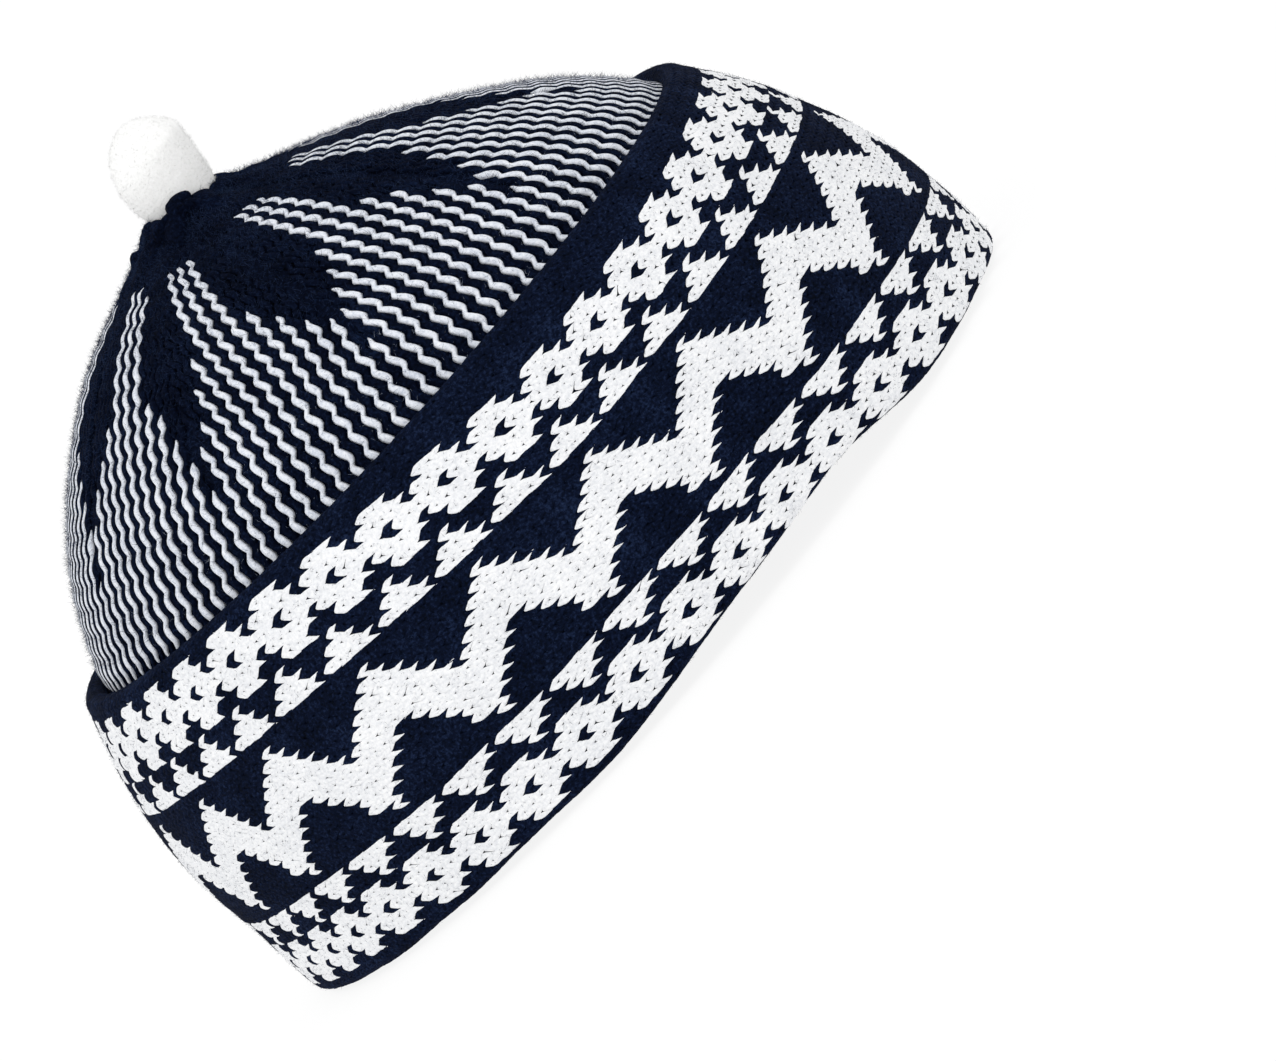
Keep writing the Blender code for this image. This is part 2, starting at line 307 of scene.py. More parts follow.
def ribs_piece(pieces, name, yarn):
    """All the ribs of one yarn as one piece."""
    points, faces, first = [], [], 0
    for degrees_of, length, across, lift in pieces:
        rows, sides = length.shape
        degrees = degrees_of(length, across)
        points.append(crown_lay.at(degrees.ravel(), length.ravel(), lift.ravel()))
        for i in range(rows - 1):
            for j in range(sides):
                a, b = first + i * sides + j, first + i * sides + (j + 1) % sides
                faces.append((a, b, b + sides, a + sides))
        faces.append(tuple(first + j for j in reversed(range(sides))))
        last = first + (rows - 1) * sides
        faces.append(tuple(last + j for j in range(sides)))
        first += rows * sides
    made = mesh_piece(name, np.concatenate(points), faces)
    finish_piece(made, name, yarn, "crown_knit")


ring = np.linalg.norm((crown_lay.points - crown_eye)[:, :, :2], axis=2).mean(axis=0)


def ring_radius(length):
    """The dome's radius at a length from its top."""
    return np.interp(length, crown_steps, ring)


CROWDED_AT, EVEN_AT = 0.022, 0.040
CROWDED_PITCH, EVEN_PITCH = 0.0023, 0.0036


def rib_pitch(radius):
    """How far apart ribs lie: crowded at the gather, even beside the leaves, spread below."""
    beside = np.interp(radius, (CROWDED_AT, EVEN_AT), (CROWDED_PITCH, EVEN_PITCH))
    return np.maximum(beside, 2 * math.pi * radius / (GORES * RIBS_IN_GORE))


# The length from the top at which each white rib ends, by its place from the gore's middle,
# and the degrees by which the top of a gore leans to one side
RIB_TOPS = (0.0235, 0.0245, 0.0525, 0.0585, 0.0650, 0.0710, 0.0800)
LEANS = (-2.0, 2.5, -3.0, 1.5, 3.0, -2.0, 2.0, -2.5, -1.5, -10.0)
LEAN_STARTS, LEAN_LENGTH = 0.022, 0.050
LEAF_TOP, LEAF_FOOT = 0.0125, 0.080  # a leaf's ribs start between these lengths
LEAF_MARGIN = 0.0008
RIB_WOBBLE = 0.0011
NAVY_GAP, SHORTEST_NAVY = 0.001, 0.006
SMALLEST_RING = 0.006
WHITE_RIB = {"half": 0.00106, "height": 0.00076, "rings": 8}
LEAF_RIB = {"half": 0.0011, "height": 0.0007, "rings": 5}
BETWEEN_RIB = {"half": 0.00112, "height": 0.00074, "rings": 6}
for gore in range(GORES):
    middle = FIRST_JOIN + (gore + 0.5) * 360 / GORES
    for place in np.arange(-5.5, 6.5, 0.5):
        def degrees_of(length, across, place=place, middle=middle, lean=LEANS[gore]):
            """Degrees round of points on this rib, which leans with its gore near the top."""
            radius = ring_radius(length)
            bend = np.clip(1 - (length - LEAN_STARTS) / LEAN_LENGTH, 0, 1) ** 1.3
            aside = (place * rib_pitch(radius) + across) / np.maximum(radius, SMALLEST_RING)
            return middle + lean * bend + np.degrees(aside)
        edge = (abs(place) + 0.4) * rib_pitch(ring)
        fits = crown_steps[ring * math.pi / GORES > edge - LEAF_MARGIN]
        nearest = min(max(fits.min() if len(fits) else RIB_END, LEAF_TOP), LEAF_FOOT)
        if place == int(place):
            wobble = RIB_WOBBLE * math.sin(gore * 2.3 + place * 1.7)
            top = max(RIB_TOPS[int(abs(place))] + wobble, nearest)
            rib(ribs_white, degrees_of, top, RIB_END, **WHITE_RIB)
            if top > nearest + SHORTEST_NAVY:
                rib(ribs_navy, degrees_of, nearest, top - NAVY_GAP, **LEAF_RIB)
        else:
            rib(ribs_navy, degrees_of, nearest, RIB_END, **BETWEEN_RIB)

ribs_piece(ribs_white, "crown_white_ribs", shaded_rib_yarn)
ribs_piece(ribs_navy, "crown_navy_ribs", navy_yarn)
YARN_DEPTH = 0.00035
sink(crown_ground, YARN_DEPTH)
finish_piece(crown_ground, "crown_ground", navy_yarn, "crown_knit", "crown")


def knit_back(name, navy, grey):
    """The back of the two-colour knitting: strands of both yarns carried up the ribs."""
    back, tree, shader = matt_wool(name, grey, 0.02, 0.03)
    place = add_node(tree, "ShaderNodeTexCoord")
    turn = add_node(tree, "ShaderNodeTexGradient", {"gradient_type": "RADIAL"}, {},
                    {"Vector": place.outputs["Object"]})
    # 120 ribs go once round the head, 4.8 mm apart at the rim, in stitches 4.8 mm long
    many = add_node(tree, "ShaderNodeMath", {"operation": "MULTIPLY"},
                    {1: GORES * RIBS_IN_GORE * math.pi}, {0: turn.outputs["Fac"]})
    wave = add_node(tree, "ShaderNodeMath", {"operation": "SINE"}, {}, {0: many.outputs[0]})
    ribbed = add_node(tree, "ShaderNodeMath", {"operation": "ABSOLUTE"}, {}, {0: wave.outputs[0]})
    apart = add_node(tree, "ShaderNodeSeparateXYZ", {}, {}, {"Vector": place.outputs["Object"]})
    high = add_node(tree, "ShaderNodeMath", {"operation": "MULTIPLY"},
                    {1: 2 * math.pi / WAVE_LENGTH}, {0: apart.outputs["Z"]})
    stitches = add_node(tree, "ShaderNodeMath", {"operation": "SINE"}, {}, {0: high.outputs[0]})
    knitted = add_node(tree, "ShaderNodeMath", {"operation": "MULTIPLY_ADD"}, {1: 0.25},
                       {0: stitches.outputs[0], 2: ribbed.outputs[0]})
    strands = add_node(tree, "ShaderNodeValToRGB", {}, {}, {"Fac": knitted.outputs[0]})
    ramp = strands.color_ramp
    ramp.elements[0].position, ramp.elements[0].color = 0.25, hex_colour(grey)
    ramp.elements[1].position, ramp.elements[1].color = 0.55, hex_colour(navy)
    relief = add_node(tree, "ShaderNodeBump", {}, {"Strength": 0.8, "Distance": 0.0006},
                      {"Height": knitted.outputs[0]})
    tree.links.new(strands.outputs["Color"], shader.inputs["Base Color"])
    tree.links.new(relief.outputs["Normal"], shader.inputs["Normal"])
    return back


crown_ground.data.materials.append(knit_back("knit_back_wool_acrylic", "#0c1428", "#8e97a8"))
HEAD_MIDDLE = Vector((0, 0, 0.045))
for face in crown_ground.data.polygons:
    outward = Vector(face.center) - HEAD_MIDDLE
    face.material_index = 1 if face.normal.dot(outward) < 0 else 0


# Cuff. The turned-up band: two-colour machine knitting, its stitches lying sideways round the hat,
# charted in rows of flowers, sprigs and a zigzag, with a plain navy border rolled over the top.
cuff_ground = smooth_copy("cuff", 2)
wave_rim(cuff_ground)
cuff_tree = BVHTree.FromObject(cuff_ground, bpy.context.evaluated_depsgraph_get())

# The cuff's lines run from inside its rolled edge, down its outside and under the rim, and their
# lengths count up from the floor. The cuff sways a little, so its middle is found at each height
ROLL = 0.0026
FOLD = 0.0021
CUFF_FIRST, CUFF_LAST = -0.008, 0.086
SWAY_RAY, SIDE_RAY, ROUND_RAY, UPRIGHT_RAY = 0.2, 0.25, 0.012, 0.05
NEAR_TOP, NEAR_FOOT = 0.064, 0.0095
EDGE_INSETS = (0.002, 0.003, 0.004, 0.005)
FOLD_INSET = 0.0025
ANCHOR_HEIGHT, ANCHOR_LENGTH = 0.035, 0.03505
cuff_sway = []
sway_heights = np.linspace(0.004, 0.066, 32)
for height in sway_heights:
    right = first_hit(cuff_tree, (SWAY_RAY, 0, height), (-1, 0, 0))
    left = first_hit(cuff_tree, (-SWAY_RAY, 0, height), (1, 0, 0))
    cuff_sway.append((right[0] + left[0]) / 2)


def from_outside(way, height):
    """The cuff's outside at a height, on the side that a way points to."""
    centre = np.array([np.interp(height, sway_heights, cuff_sway), 0.0, height])
    return first_hit(cuff_tree, centre + SIDE_RAY * way, -way)


def round_about(way, centre, start, end, steps):
    """Points on the rolled edge or the rim fold, seen from round about its middle."""
    found = []
    for tilt in np.radians(np.linspace(start, end, steps)):
        turned = way * math.cos(tilt) + np.array([0, 0, math.sin(tilt)])
        hit = first_hit(cuff_tree, centre + ROUND_RAY * turned, -turned)
        if hit is not None:
            found.append(hit)
    return found


cuff_lengths = np.arange(CUFF_FIRST, CUFF_LAST, LAY_STEP)
cuff_paths = []
for turn in range(TURNS):
    azimuth = math.radians(turn * 360 / TURNS)
    way = np.array([math.sin(azimuth), -math.cos(azimuth), 0.0])
    near_top = from_outside(way, NEAR_TOP)
    above = [first_hit(cuff_tree, near_top - inset * way + [0, 0, UPRIGHT_RAY], (0, 0, -1))
             for inset in EDGE_INSETS]
    top = max(hit[2] for hit in above if hit is not None)
    edge = from_outside(way, top - ROLL)
    edge = edge if edge is not None else near_top
    over = round_about(way, edge - ROLL * way, 190, 10, 19)
    foot = from_outside(way, NEAR_FOOT) - FOLD_INSET * way + [0, 0, -UPRIGHT_RAY]
    bottom = first_hit(cuff_tree, foot, (0, 0, 1))[2]
    side = [from_outside(way, h) for h in np.linspace(top - ROLL, bottom + FOLD, 70)]
    side = [hit for hit in side if hit is not None]
    under = round_about(way, side[-1] - FOLD * way, -10, -170, 14)
    path = np.array(over + side + under)
    lengths = np.concatenate([[0], np.cumsum(np.linalg.norm(np.diff(path, axis=0), axis=1))])
    count = len(over) + len(side)
    anchor = np.interp(-ANCHOR_HEIGHT, -path[len(over):count, 2], lengths[len(over):count])
    upward = ANCHOR_LENGTH + anchor - lengths
    cuff_paths.append(np.stack(
        [np.interp(cuff_lengths, upward[::-1], path[::-1, i]) for i in range(3)], 1))
cuff_points = np.array(cuff_paths)
for _ in range(2):
    cuff_points = (np.roll(cuff_points, 1, 0) + 2 * cuff_points + np.roll(cuff_points, -1, 0)) / 4
cuff_lay = Lay(cuff_points[:, ::-1], -CUFF_LAST, LAY_STEP)

# The chart, one zigzag wide and from the rolled edge down to the rim: # is white and . is navy.
# In twelve courses there are flowers at 0 and at 6, and sprigs at 3 and at 9
CHART = """
............
............
............
............
............
............
............
............
##...###...#
###.#####.##
.#####.#####
###.#####.##
##...###...#
...#.....#..
..###...###.
.#####.#####
............
...#........
..###.......
.#####......
#######.....
########...#
#########.##
##..########
#....#######
......######
.......####.
.......###..
.........#..
............
.#####.#####
..###...###.
...#.....#..
##...###...#
###.#####.##
.#####.#####
###.#####.##
##...###...#
............
............
............
............
............
""".split()
# The height of each row's edges up the cuff, in mm
BORDER_ROW, ZIGZAG_ROW = 2.15, 1.917
row_edges = [84.0 - BORDER_ROW * i for i in range(8)]
row_edges += [66.8, 64.5, 62.0, 59.3, 56.9, 54.2, 51.9, 49.7, 47.6, 45.3]
row_edges += [45.3 - ZIGZAG_ROW * i for i in range(1, 12)]
row_edges += [22.3, 20.6, 18.6, 16.6, 14.7, 12.7, 10.8, 8.5, 6.3, 4.3, 2.3, 0.3, -1.7, -3.7, -5.7]
row_edges = np.array(row_edges) / 1000

# How the knitting has slipped round and up the hat: turn in degrees, then the shift in
# degrees and the rise in mm of the upper flowers and of the lower ones
SLIP = np.array([
    (-180, 0.0, 2.0, 0.5, -0.5),
    (-120, -1.0, 4.0, 3.0, 0.2),
    (-81, -1.0, 4.0, 5.1, 0.4),
    (-72, -0.6, 4.9, 3.9, 0.8),
    (-63, -0.9, 5.0, 1.9, 1.1),
    (-54, -1.6, 5.1, 1.0, 1.0),
    (-45, -1.7, 5.2, 1.1, 0.3),
    (-36, -0.9, 4.9, 0.5, -0.5),
    (-27, -0.2, 3.5, 0.5, 0.0),
    (-18, -0.1, 1.8, 0.3, -0.4),
    (-9, 0.1, 0.9, 0.0, 0.4),
    (0, 0.1, -1.3, 0.1, 1.1),
    (9, -0.4, -2.2, -0.6, 0.9),
    (18, -0.7, -1.7, -1.3, 1.2),
    (27, -0.8, -1.9, -1.3, 0.3),
    (36, -0.3, -1.4, -1.0, -0.8),
    (45, -0.7, -0.6, -0.4, -1.5),
    (54, -0.1, 0.0, 0.5, -2.3),
    (63, 0.7, 0.4, 2.4, -2.8),
    (72, 0.3, 0.4, 3.8, -2.8),
    (120, 0.5, 1.2, 2.0, -1.8),
    (180, 0.0, 2.0, 0.5, -0.5),
])
turns_fine = np.arange(-180, 181, 2.0)
slip_fine = np.stack([np.interp(turns_fine, SLIP[:, 0], SLIP[:, i]) for i in range(1, 5)], 1)
for _ in range(3):
    slip_fine[:-1] = (np.roll(slip_fine[:-1], 1, 0) + 2 * slip_fine[:-1]
                      + np.roll(slip_fine[:-1], -1, 0)) / 4
    slip_fine[-1] = slip_fine[0]
UPPER_FLOWERS, LOWER_FLOWERS = 0.0603, 0.00965
CHART_TURN, CHART_SLANT = 3.0, 3.2  # degrees round, at the lower flowers and more at the upper


def knit_place(turn, up):
    """Where the flat chart's turn and height come to lie on the cuff."""
    share = (up - LOWER_FLOWERS) / (UPPER_FLOWERS - LOWER_FLOWERS)
    held = np.clip(share, -0.1, 1.1)
    wrapped = (turn + 180) % 360 - 180
    upper_turn, upper_rise, lower_turn, lower_rise = (
        np.interp(wrapped, turns_fine, slip_fine[:, i]) for i in range(4))
    degrees = (turn + CHART_TURN + CHART_SLANT * held + lower_turn
               + held * (upper_turn - lower_turn))
    rise = lower_rise + held * (upper_rise - lower_rise)
    return degrees, up + rise / 1000


COURSES = 240
COURSE = 360 / COURSES
# One leg of a stitch, from its start under the stitch before it to its point: along as a share
# of a course, out as a share of half a row, half width as a share of a row, and height in mm
LEG = (
    (-0.86, 0.12, 0.165, 0.43),
    (-0.48, 0.43, 0.285, 0.48),
    (0.04, 0.71, 0.258, 0.46),
)
LEG_START, LEG_POINT = (-1.04, 0.05, 0.34), (0.76, 1.04, 0.33)
# The leg's section: across as a share of its half width, up as a share of its height
LEG_SECTION = ((1.0, 0.50), (0.5, 0.96), (-0.5, 0.96), (-1.0, 0.50))


def stitch_form():
    """Two closed legs modelled once: a four-sided tube, drawn out to points and mirrored."""
    bpy.ops.object.select_all(action="DESELECT")
    bpy.ops.mesh.primitive_circle_add(vertices=4, radius=1, fill_type="NGON",
                                      rotation=(0, math.pi / 2, 0))
    leg = bpy.context.object
    bpy.ops.object.transform_apply(location=False, rotation=True, scale=False)
    bpy.ops.object.mode_set(mode="EDIT")
    bpy.ops.mesh.select_all(action="SELECT")
    for _ in LEG[1:]:
        bpy.ops.mesh.extrude_region_move(TRANSFORM_OT_translate={"value": (1, 0, 0)})
    bpy.ops.mesh.select_all(action="SELECT")
    bpy.ops.mesh.normals_make_consistent(inside=False)
    bpy.ops.mesh.select_all(action="DESELECT")
    bpy.ops.object.mode_set(mode="OBJECT")
    for vertex in leg.data.vertices:
        along, out, half, high = LEG[round(vertex.co.x)]
        corner = round(math.atan2(vertex.co.z, vertex.co.y) / (math.pi / 2)) % 4
        across, up = LEG_SECTION[corner]
        vertex.co = (along, out / 2 + across * half, up * high)
    for low_end, (along, out, high) in ((True, LEG_START), (False, LEG_POINT)):
        bpy.ops.object.mode_set(mode="EDIT")
        bpy.ops.mesh.select_mode(type="FACE")
        bpy.ops.mesh.select_all(action="DESELECT")
        bpy.ops.object.mode_set(mode="OBJECT")
        cap = [face for face in leg.data.polygons
               if abs(face.normal.x) > 0.7 and (face.normal.x < 0) == low_end][0]
        cap.select = True
        bpy.ops.object.mode_set(mode="EDIT")
        bpy.ops.mesh.poke()
        bpy.ops.object.mode_set(mode="OBJECT")
        leg.data.vertices[-1].co = (along, out / 2, high)
    bpy.ops.object.mode_set(mode="EDIT")
    bpy.ops.mesh.select_all(action="SELECT")
    bpy.ops.mesh.quads_convert_to_tris()
    bpy.ops.object.mode_set(mode="OBJECT")
    points = np.array([vertex.co for vertex in leg.data.vertices])
    faces = np.array([list(face.vertices) for face in leg.data.polygons])
    bpy.data.objects.remove(leg)
    other = points * (1, -1, 1)
    return np.concatenate([points, other]), np.concatenate([faces, faces[:, ::-1] + len(points)])


stitch_points, stitch_faces = stitch_form()
white_yarn = spun_yarn("white_wool_acrylic_cuff", "#dcdee2", "#edeef0", "#fafafa", 0.03)
cuff_navy_yarn = spun_yarn(
    "navy_spun_wool_acrylic_cuff", "#04070f", "#0a1226", "#1f2c48", 0.01, 0.03)

# How uneven stitches are, as shares of a course, of their width, of a row and of their height
UNEVEN_TURN, UNEVEN_WIDTH, UNEVEN_ROW, UNEVEN_HEIGHT = 0.04, 0.04, 0.02, 0.07
BEDDED = 0.20  # how deep a stitch lies in the cloth, in mm
# Under the rim the hat's own weight presses the stitches flat, just above the table
TABLE_GAP, PRESSED = 0.0002, 0.05
SHARP_EDGE = math.radians(62)


def stitches_piece(name, rows, mark, yarn):
    """All the stitches of one yarn in some of the chart's rows."""
    course, row = [], []
    for r in rows:
        for c in range(COURSES):
            if CHART[r][c % len(CHART[r])] == mark:
                course.append(c)
                row.append(r)
    course, row = np.array(course, float), np.array(row)
    many = len(course)
    row_top, row_foot = row_edges[row], row_edges[row + 1]
    along, out, high = (stitch_points[:, i] for i in range(3))
    uneven = random.normal(0, 1, (many, 4))
    turn = (course[:, None] + UNEVEN_TURN * uneven[:, :1] + along[None, :]) * COURSE
    tall = (row_top - row_foot)[:, None]
    wide = out[None, :] * tall * (1 + UNEVEN_WIDTH * uneven[:, 1:2])
    up = ((row_top + row_foot) / 2)[:, None] + wide
    up = up + UNEVEN_ROW * tall * uneven[:, 2:3]
    lift = (high[None, :] * (1 + UNEVEN_HEIGHT * uneven[:, 3:4]) - BEDDED) / 1000
    degrees, up = knit_place(turn.ravel(), up.ravel())
    points = cuff_lay.at(degrees, -up, lift.ravel())
    low = points[:, 2] < TABLE_GAP
    points[low, 2] = TABLE_GAP + PRESSED * (points[low, 2] - TABLE_GAP)
    faces = stitch_faces[None] + (np.arange(many) * len(stitch_points))[:, None, None]
    made = mesh_piece(name, points, faces.reshape(-1, 3).tolist())
    finish_piece(made, name, yarn, "cuff_knit")
    bpy.context.view_layer.objects.active = made
    made.select_set(True)
    bpy.ops.object.shade_smooth_by_angle(angle=SHARP_EDGE)
    made.select_set(False)


BANDS = (("upper", range(2, 17)), ("middle", range(17, 30)), ("lower", range(30, 43)))
for band, rows in BANDS:
    stitches_piece("cuff_white_stitches_" + band, rows, "#", white_yarn)
    stitches_piece("cuff_navy_stitches_" + band, rows, ".", cuff_navy_yarn)
sink(cuff_ground, YARN_DEPTH)
finish_piece(cuff_ground, "cuff_ground", cuff_navy_yarn, "cuff_knit", "cuff")


# Gather. Where the gores are drawn together with a thread: soft navy folds of the crown's own
# knitting, ten long ones that run out into the leaves and short ones that bunch up between them
# round the pompom.

# Each fold: degrees round, then start and end from the top's middle, half width and height in mm
FOLDS = (
    (-12, 3.0, 19.0, 3.4, 4.0), (-52, 3.5, 18.0, 2.7, 1.7), (-84, 8.0, 17.0, 2.2, 0.9),
    (26, 3.0, 17.0, 3.0, 2.0), (60, 3.5, 16.0, 2.7, 0.9), (97, 3.5, 16.0, 2.7, 0.7),
    (134, 3.5, 18.0, 2.9, 1.5), (171, 3.5, 17.0, 2.9, 1.8), (208, 3.5, 18.0, 2.9, 1.4),
    (245, 3.5, 17.0, 2.7, 0.8),
    (-24, 8.5, 15.5, 2.2, 3.6), (2, 7.5, 13.5, 2.0, 3.6), (-44, 9.0, 15.0, 1.9, 2.4),
    (-80, 12.5, 17.5, 1.6, 1.9), (16, 9.5, 15.5, 1.9, 2.3), (-66, 7.0, 12.0, 1.7, 2.0),
    (120, 8.0, 14.0, 2.0, 2.2), (190, 8.0, 14.0, 2.0, 2.4), (230, 9.0, 14.5, 1.8, 1.8),
)


def fold_form():
    """One fold modelled once: a ball with its poles along the fold and a flattened underside."""
    bpy.ops.object.select_all(action="DESELECT")
    bpy.ops.mesh.primitive_uv_sphere_add(segments=14, ring_count=10, radius=1,
                                         rotation=(0, math.pi / 2, 0))
    form = bpy.context.object
    bpy.ops.object.transform_apply(location=False, rotation=True, scale=False)
    bpy.ops.object.mode_set(mode="EDIT")
    bpy.ops.mesh.select_mode(type="VERT")
    bpy.ops.mesh.select_all(action="DESELECT")
    bpy.ops.object.mode_set(mode="OBJECT")
    for vertex in form.data.vertices:
        vertex.select = vertex.co.z < -0.01
    bpy.ops.object.mode_set(mode="EDIT")
    bpy.ops.transform.resize(value=(1, 1, 0.4), center_override=(0, 0, 0))
    bpy.ops.object.mode_set(mode="OBJECT")
    points = np.array([vertex.co for vertex in form.data.vertices])
    faces = [tuple(face.vertices) for face in form.data.polygons]
    bpy.data.objects.remove(form)
    return points, faces


FOLD_SWAY, FOLD_WAVES = 9, 5  # degrees, and how fast it turns along a fold
LUMP_HEIGHT, LUMPS_ALONG, LUMPS_ROUND = 0.00045, 2400, 17
FOLD_RING = 0.004


def laid_fold(points, azimuth, start, end, half, height):
    """The fold's form laid on the crown: swelling near the pompom, then running out."""
    along = ((points[:, 0] + 1) / 2) ** 1.5
    length = (start + (end - start) * along) / 1000
    bent = azimuth + FOLD_SWAY * np.sin(along * FOLD_WAVES + azimuth)
    across = points[:, 1] * half / 1000
    degrees = bent + np.degrees(across / np.maximum(ring_radius(length), FOLD_RING))
    lumps = (LUMP_HEIGHT * np.sin(length * LUMPS_ALONG + azimuth)
             * np.sin(np.radians(degrees) * LUMPS_ROUND))
    return crown_lay.at(degrees, length, points[:, 2] * height / 1000 + lumps)


form_points, form_faces = fold_form()
fold_points = [laid_fold(form_points, *fold) for fold in FOLDS]
fold_faces = [tuple(corner + i * len(form_points) for corner in face)
              for i in range(len(FOLDS)) for face in form_faces]
gather = mesh_piece("gather_folds", np.concatenate(fold_points), fold_faces)
bpy.context.view_layer.objects.active = gather
rounder = gather.modifiers.new("rounder", "SUBSURF")
rounder.levels = rounder.render_levels = 1
bpy.ops.object.modifier_apply(modifier="rounder")
finish_piece(gather, "gather_folds", navy_yarn, "crown_knit")


# Pompom. Dense white yarn, cut short and felted to a smooth thumb shape. It is sewn into the
# gather and leans to one side.

# The outline from the gather up, in mm: height, left side and right side
POMPOM_OUTLINE = np.array([
    (119.0, -5.6, 5.2), (120.5, -7.4, 6.6), (123.7, -8.4, 7.6), (127.6, -8.9, 8.6),
    (131.5, -8.4, 9.4), (133.5, -7.7, 9.9), (135.4, -6.8, 9.2), (137.4, -5.5, 7.7),
    (139.2, -3.7, 5.9), (140.3, -1.6, 4.2), (140.9, 0.6, 2.4),
]) / 1000
POMPOM_DEPTH = 0.95
bpy.ops.object.select_all(action="DESELECT")
foot, foot_left, foot_right = POMPOM_OUTLINE[0]
bpy.ops.mesh.primitive_circle_add(
    vertices=32, radius=(foot_right - foot_left) / 2, fill_type="NGON",
    location=((foot_left + foot_right) / 2, 0, foot))
pompom = bpy.context.object
bpy.ops.object.transform_apply(location=True, rotation=True, scale=True)
bpy.ops.object.mode_set(mode="EDIT")
bpy.ops.mesh.select_all(action="SELECT")
bpy.ops.transform.resize(value=(1, POMPOM_DEPTH, 1), center_override=(0, 0, foot))
for below, above in zip(POMPOM_OUTLINE[:-1], POMPOM_OUTLINE[1:]):
    middle_below, middle_above = (below[1] + below[2]) / 2, (above[1] + above[2]) / 2
    bpy.ops.mesh.extrude_region_move(TRANSFORM_OT_translate={
        "value": (middle_above - middle_below, 0, above[0] - below[0])})
    wider = (above[2] - above[1]) / (below[2] - below[1])
    bpy.ops.transform.resize(value=(wider, wider, 1),
                             center_override=(middle_above, 0, above[0]))
bpy.ops.mesh.poke()
bpy.ops.mesh.select_all(action="SELECT")
bpy.ops.mesh.normals_make_consistent(inside=False)
bpy.ops.object.mode_set(mode="OBJECT")
rounder = pompom.modifiers.new("rounder", "SUBSURF")
rounder.levels = rounder.render_levels = 2
bpy.ops.object.modifier_apply(modifier="rounder")
pompom_yarn = spun_yarn("white_felted_pompom_yarn", "#f4f4f3", "#fafaf9", "#fefefe", 0.04, 0.05)
finish_piece(pompom, "pompom_felt", pompom_yarn, "pompom_yarn", "pompom")


# Loose fibres. Wool and acrylic ends that stand up from all the yarn as a fine down, denser on
# the crown. Each is a thin closed spike, drawn a little thicker than the real ones.

def fibre_form():
    """One fibre modelled once: a three-sided cone of height 1, closed at its root."""
    bpy.ops.object.select_all(action="DESELECT")
    bpy.ops.mesh.primitive_cone_add(vertices=3, radius1=1, radius2=0, depth=1,
                                    end_fill_type="NGON", location=(0, 0, 0.5))
    form = bpy.context.object
    bpy.ops.object.transform_apply(location=True, rotation=True, scale=True)
    points = np.array([vertex.co for vertex in form.data.vertices])
    faces = np.array([list(face.vertices) for face in form.data.polygons])
    bpy.data.objects.remove(form)
    return points, faces


spike_points, spike_faces = fibre_form()


def fibres(name, roots, outs, lengths, spread, thick, yarn, slot):
    """Copies of the fibre, each leaning its own way from its root on the cloth."""
    many = len(roots)
    aside = random.normal(0, 1, (many, 3))
    aside -= outs * (aside * outs).sum(1, keepdims=True)
    aside /= np.linalg.norm(aside, axis=1, keepdims=True)
    way = outs + aside * spread * random.uniform(0.3, 1.5, (many, 1))
    way /= np.linalg.norm(way, axis=1, keepdims=True)
    side = np.cross(way, outs + 0.5 * aside[:, ::-1])
    side /= np.maximum(np.linalg.norm(side, axis=1, keepdims=True), 1e-9)
    other = np.cross(way, side)
    points = (roots[:, None] + spike_points[None, :, :1] * thick * side[:, None]
              + spike_points[None, :, 1:2] * thick * other[:, None]
              + spike_points[None, :, 2:] * lengths[:, None, None] * way[:, None])
    faces = spike_faces[None] + (np.arange(many) * len(spike_points))[:, None, None]
    made = mesh_piece(name, points.reshape(-1, 3), faces.reshape(-1, 3).tolist())
    finish_piece(made, name, yarn, slot)


ROOT_HEIGHT = 0.0002


def scatter(lay, low, high, many):
    """Random roots on a lay between two lengths, with the way out at each."""
    degrees = random.uniform(0, 360, many)
    lengths = random.uniform(low, high, many)
    roots = lay.at(degrees, lengths, np.full(many, ROOT_HEIGHT))
    above = lay.at(degrees, lengths, np.full(many, 0.0012))
    return roots, (above - roots) * 1000


navy_down = spun_yarn("navy_loose_wool_fibre", "#121c33", "#24324f", "#3f4e6e", 0.05, 0.05)
pale_down = spun_yarn("white_loose_wool_fibre", "#8b95a8", "#aab3c3", "#ced4de", 0.05, 0.05)
# How many fibres each piece has, and their shortest and longest in metres
CROWN_NAVY, CROWN_PALE, CUFF_NAVY, POMPOM_WHITE = 42000, 2000, 22000, 8500
CROWN_NAVY_SPAN, CROWN_PALE_SPAN = (0.0006, 0.0023), (0.0006, 0.0014)
CUFF_NAVY_SPAN, POMPOM_SPAN = (0.0004, 0.0012), (0.0002, 0.0006)
roots, outs = scatter(crown_lay, 0.008, 0.099, CROWN_NAVY)
fibres("crown_navy_down", roots, outs, random.uniform(*CROWN_NAVY_SPAN, CROWN_NAVY),
       1.5, 0.00004, navy_down, "crown_knit")
roots, outs = scatter(crown_lay, 0.080, 0.100, CROWN_PALE)
fibres("crown_pale_down", roots, outs, random.uniform(*CROWN_PALE_SPAN, CROWN_PALE),
       2.2, 0.00003, pale_down, "crown_knit")
roots, outs = scatter(cuff_lay, -0.081, -0.002, CUFF_NAVY)
fibres("cuff_navy_down", roots, outs, random.uniform(*CUFF_NAVY_SPAN, CUFF_NAVY),
       2.0, 0.00003, navy_down, "cuff_knit")
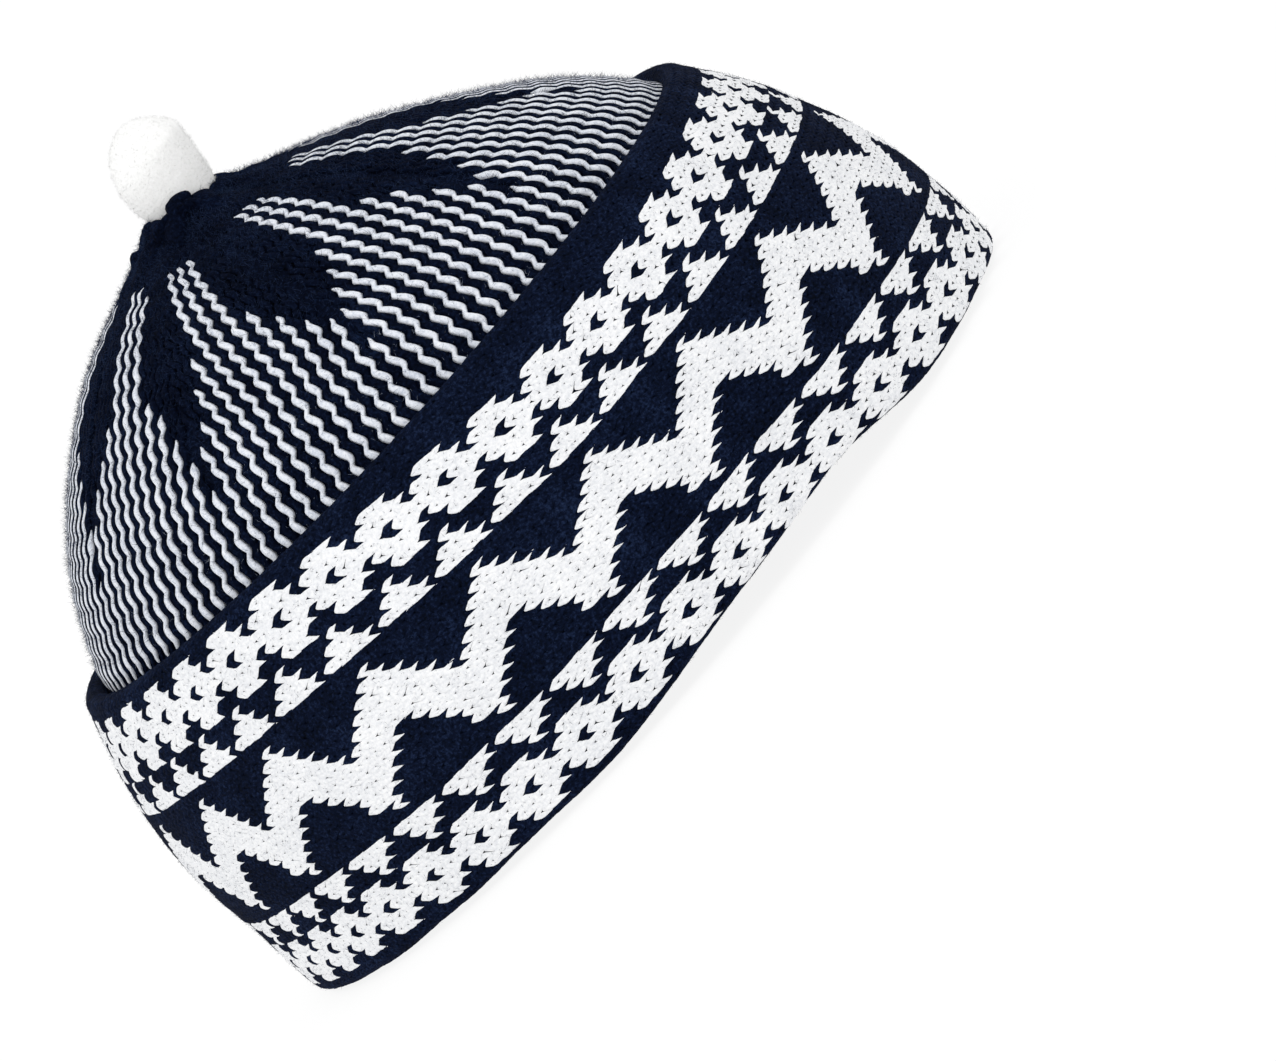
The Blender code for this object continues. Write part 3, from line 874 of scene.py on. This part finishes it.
# The pompom's fibres stand on its own faces, as many to a square millimetre everywhere
pompom_roots = np.array([face.center for face in pompom.data.polygons])
pompom_outs = np.array([face.normal for face in pompom.data.polygons])
pompom_areas = np.array([face.area for face in pompom.data.polygons])
pick = random.choice(len(pompom_roots), POMPOM_WHITE, p=pompom_areas / pompom_areas.sum())
jitter = random.normal(0, 0.0002, (POMPOM_WHITE, 3))
fibres("pompom_down", pompom_roots[pick] + jitter, pompom_outs[pick],
       random.uniform(*POMPOM_SPAN, POMPOM_WHITE), 1.2, 0.00004, pompom_yarn, "pompom_yarn")


# Table and light. A pale seamless sheet of paper under the hat, with soft light all round and
# two wide lamps, one above on the left and a weaker one at the front on the right.
bpy.ops.mesh.primitive_plane_add(size=24, location=(0, 0, 0))
table = bpy.context.object
table.name = "pale_table"
paper = bpy.data.materials.new("pale_background_paper")
paper.use_nodes = True
paper_shader = paper.node_tree.nodes["Principled BSDF"]
paper_shader.inputs["Base Color"].default_value = hex_colour("#606060")
paper_shader.inputs["Roughness"].default_value = 0.9
paper_shader.inputs["Specular IOR Level"].default_value = 0.1
paper_shader.inputs["Emission Color"].default_value = hex_colour("#fafafa")
paper_shader.inputs["Emission Strength"].default_value = 0.92
table.data.materials.append(paper)

world = bpy.data.worlds.new("soft_room")
bpy.context.scene.world = world
world.use_nodes = True
world.node_tree.nodes["Background"].inputs["Color"].default_value = (1, 1, 1, 1)
world.node_tree.nodes["Background"].inputs["Strength"].default_value = 0.95


def soft_lamp(name, place, aim, size, power):
    """A wide soft lamp that looks at a point."""
    data = bpy.data.lights.new(name, "AREA")
    data.shape = "DISK"
    data.size = size
    data.energy = power
    lamp = bpy.data.objects.new(name, data)
    bpy.context.scene.collection.objects.link(lamp)
    lamp.location = place
    lamp.rotation_euler = (Vector(aim) - Vector(place)).to_track_quat("-Z", "Y").to_euler()


soft_lamp("lamp_above_left", (-0.7, -0.9, 1.3), (0, 0, 0.06), 1.0, 4.5)
soft_lamp("lamp_front_right", (1.1, -1.3, 0.7), (0, 0, 0.05), 1.0, 2.5)


# Camera. A long lens 8 degrees above the table, rolled so that the hat leans to the upper left
# and fills the same part of the frame as in the photo.
MM_PER_PIXEL = 0.1944
FRAME_WIDTH = 1276
DISTANCE = 2.4
LOOK_DOWN = math.radians(8.0)
LEAN_ALONG, LEAN_ACROSS = 0.6633, 0.7483  # the cosine and sine of the roll
AIM_RIGHT, AIM_UP = -18.5, 83.5  # where the frame's middle lies from the rim's, in pixels
SENSOR = 36.0
back = Vector((0, -math.cos(LOOK_DOWN), math.sin(LOOK_DOWN)))
hat_right = Vector((1, 0, 0))
hat_up = back.cross(hat_right)
camera_right = LEAN_ALONG * hat_right - LEAN_ACROSS * hat_up
camera_up = LEAN_ACROSS * hat_right + LEAN_ALONG * hat_up
shift_right, shift_up = AIM_RIGHT * MM_PER_PIXEL / 1000, AIM_UP * MM_PER_PIXEL / 1000
eye = back * DISTANCE + camera_right * shift_right + camera_up * shift_up
camera_data = bpy.data.cameras.new("long_lens")
camera_data.sensor_width = SENSOR
camera_data.lens = SENSOR * DISTANCE / (MM_PER_PIXEL * FRAME_WIDTH / 1000)
camera_data.clip_end = 50.0
camera = bpy.data.objects.new("camera", camera_data)
bpy.context.scene.collection.objects.link(camera)
axes = Matrix((camera_right, camera_up, back)).transposed()
camera.matrix_world = Matrix.Translation(eye) @ axes.to_4x4()
bpy.context.scene.camera = camera
bpy.context.scene.view_settings.view_transform = "Standard"
